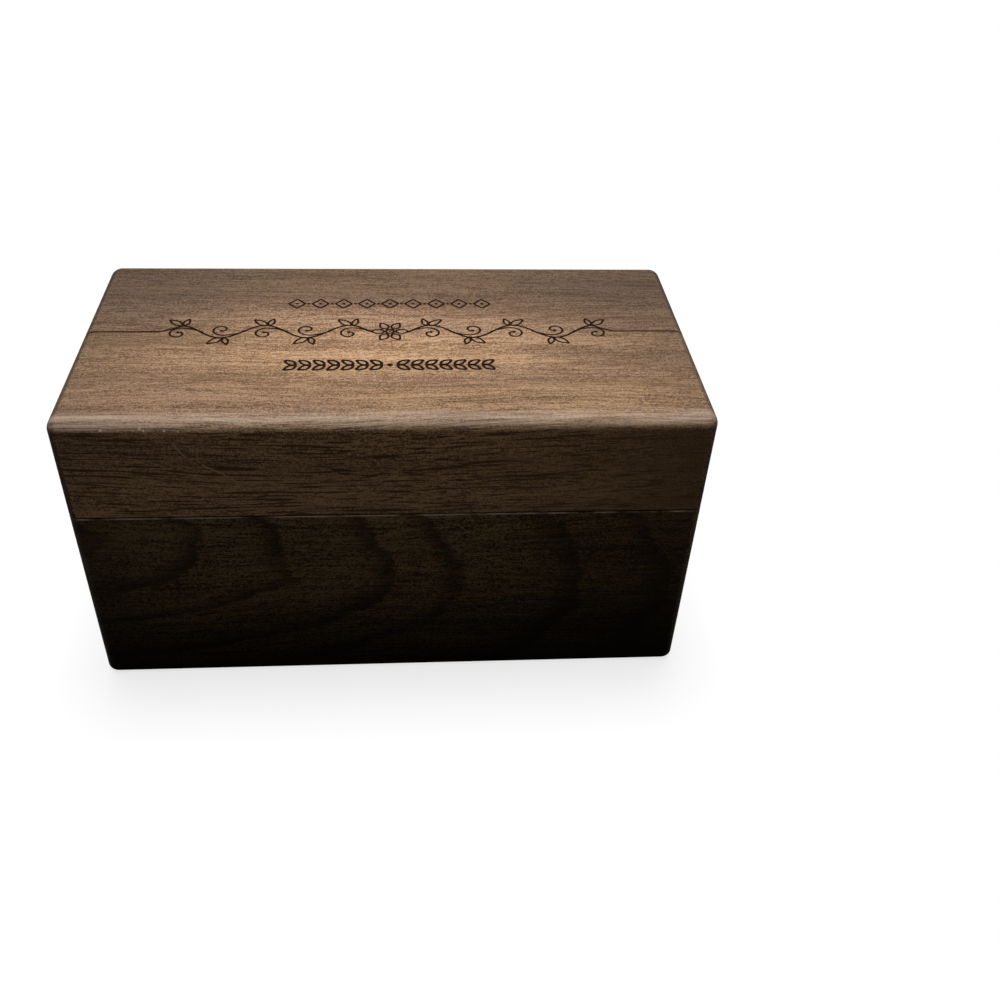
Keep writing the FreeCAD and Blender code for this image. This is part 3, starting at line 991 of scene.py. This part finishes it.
# Each velvet cover is blown up as cloth at ten times its size, and is slack near its ends
CLOTH_SCALE = 10.0
CLOTH_VOXEL = 0.006
CLOTH_FRAMES = 20
CLOTH_PRESSURE = 0.6
CLOTH_SLACK = 0.3
SLACK_REACH_MM = 14.0
FOOT_MM = 0.6
COVER_MOVE_MM = 0.5


def bar_section(half_width, low, high):
    """Points round a soft bar's section, from its back foot over the top to its front foot."""
    crown = min(half_width, high - low)
    middle = high - crown
    points = []
    for number in range(BAR_AROUND + 1):
        angle = math.pi * number / BAR_AROUND
        across, up = math.cos(angle), math.sin(angle)
        y = half_width * math.copysign(abs(across) ** (2 / BAR_SQUARENESS), across)
        z = middle + crown * up ** (2 / BAR_SQUARENESS)
        points.append((y, z))
    foot = half_width * BAR_FOOT_SHARE
    return [(foot, low)] + points + [(-foot, low)]


def bar_rows(low, high):
    """Sections along a crowned, stuffed bar with soft ends that fills a box, in millimetres."""
    middle_y = (low.y + high.y) / 2
    half_width = (high.y - low.y) / 2
    half_length = (high.x - low.x) / 2
    rows = []
    for station in range(BAR_STATIONS):
        turn = math.pi * station / (BAR_STATIONS - 1) - math.pi / 2
        x = math.copysign(abs(math.sin(turn)) ** BAR_END_POWER, math.sin(turn)) * half_length
        tuck = max(0.0, 1.0 - (half_length - abs(x)) / BAR_END_ROUND_MM)
        pinch = BAR_END_ROUND_MM * (1.0 - math.sqrt(max(0.0, 1.0 - tuck**2)))
        top = high.z - BAR_SAG_MM * (x / half_length) ** 4 - BAR_PINCH_DOWN * pinch
        width = half_width - BAR_PINCH_IN * pinch
        row = []
        for y, z in bar_section(width, low.z, top):
            place = Vector((x, middle_y + y, z))
            soft = sum(noise.noise(place * pace) * height for pace, height in BAR_LUMPS)
            up = max(0.0, math.sin(math.atan2(z - (top - width), y)))
            outward = Vector((0.0, y / width, up)).normalized()
            row.append(place + outward * min(0.0, soft - BAR_SUNK_MM))
        rows.append(row)
    return rows


def bar_mesh(name, rows):
    """One closed skin over the sections, in metres."""
    shape = bmesh.new()
    made = [[shape.verts.new(place * MM) for place in row] for row in rows]
    for left, right in zip(made, made[1:]):
        for i in range(len(left) - 1):
            shape.faces.new((left[i], right[i], right[i + 1], left[i + 1]))
        shape.faces.new((left[-1], right[-1], right[0], left[0]))
    shape.faces.new(made[0])
    shape.faces.new(made[-1])
    bmesh.ops.triangulate(shape, faces=[face for face in shape.faces if len(face.verts) > 4])
    bmesh.ops.recalc_face_normals(shape, faces=shape.faces)
    mesh = bpy.data.meshes.new(name)
    shape.to_mesh(mesh)
    shape.free()
    return mesh


def mesh_points(mesh):
    """A mesh's vertices as an array with a row for each."""
    flat = np.empty(len(mesh.vertices) * 3)
    mesh.vertices.foreach_get("co", flat)
    return flat.reshape(-1, 3)


def with_modifiers(thing):
    """The mesh of an object after its modifiers, which are then taken off it."""
    graph = bpy.context.evaluated_depsgraph_get()
    mesh = bpy.data.meshes.new_from_object(thing.evaluated_get(graph))
    thing.modifiers.clear()
    return mesh


def blow_up(cover, low, high):
    """Simulates a velvet cover as cloth under pressure, kept in its solid's place."""
    cover.data.transform(Matrix.Scale(CLOTH_SCALE, 4))
    even = cover.modifiers.new("even", "REMESH")
    even.mode = "VOXEL"
    even.voxel_size = CLOTH_VOXEL
    cover.data = with_modifiers(cover)
    start = mesh_points(cover.data)
    to_mm = 1.0 / (CLOTH_SCALE * MM)
    feet = cover.vertex_groups.new(name="foot")
    slack = cover.vertex_groups.new(name="slack")
    for index, (x, y, z) in enumerate(start * to_mm):
        if z < low.z + FOOT_MM:
            feet.add([index], 1.0, "REPLACE")
        near_end = 1.0 - (high.x - abs(x)) / SLACK_REACH_MM
        slack.add([index], min(1.0, max(0.0, near_end)), "REPLACE")

    cloth = cover.modifiers.new("cloth", "CLOTH")
    cloth.point_cache.frame_end = CLOTH_FRAMES
    cloth.settings.vertex_group_mass = feet.name
    cloth.settings.vertex_group_shrink = slack.name
    cloth.settings.shrink_max = -CLOTH_SLACK
    cloth.settings.use_pressure = True
    cloth.settings.uniform_pressure_force = CLOTH_PRESSURE
    cloth.settings.effector_weights.gravity = 0.0
    for number in range(1, CLOTH_FRAMES + 1):
        bpy.context.scene.frame_set(number)
    cover.data = with_modifiers(cover)
    bpy.context.scene.frame_set(1)

    move = mesh_points(cover.data) - start
    length = np.linalg.norm(move, axis=1, keepdims=True)
    cap = COVER_MOVE_MM / to_mm
    place = start + move * np.minimum(1.0, cap / np.maximum(length, 1e-9))
    place = np.clip(place * to_mm, low, high) * MM
    cover.data.vertices.foreach_set("co", place.ravel())
    cover.data.update()
    cover.vertex_groups.clear()


def make_bar(name, node, material, is_cover):
    """A soft bar in the place of its CAD solid. The velvet ones are simulated as cloth."""
    low, high = (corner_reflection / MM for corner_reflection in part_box(node))
    bar = bpy.data.objects.new(name, bar_mesh(name, bar_rows(low, high)))
    bpy.context.collection.objects.link(bar)
    if is_cover:
        blow_up(bar, low, high)
    bar.data.shade_smooth()
    bar.data.materials.clear()
    bar.data.materials.append(material)
    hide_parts(node)
    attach(bar, "box_base")


make_camera()
make_lights()
make_floor()
make_lid(walnut("lid_walnut", LID_WOOD, is_lid=True))
paint_cad("base", walnut("base_walnut", BASE_WOOD, is_lid=False))
magnet_metal = nickel()
for node_name in ("base_magnet_front", "base_magnet_back", "lid_magnet_front", "lid_magnet_back"):
    paint_cad(node_name, magnet_metal)
paint_cad("backing_card", card())
foam_material = foam()
velvet_material = velvet()
for place in ("front", "back"):
    cover, core = f"velvet_cover_{place}", f"foam_core_{place}"
    make_bar(f"velvet_bar_{place}", cover, velvet_material, is_cover=True)
    make_bar(f"foam_bar_{place}", core, foam_material, is_cover=False)

bpy.context.scene.view_settings.view_transform = "Standard"
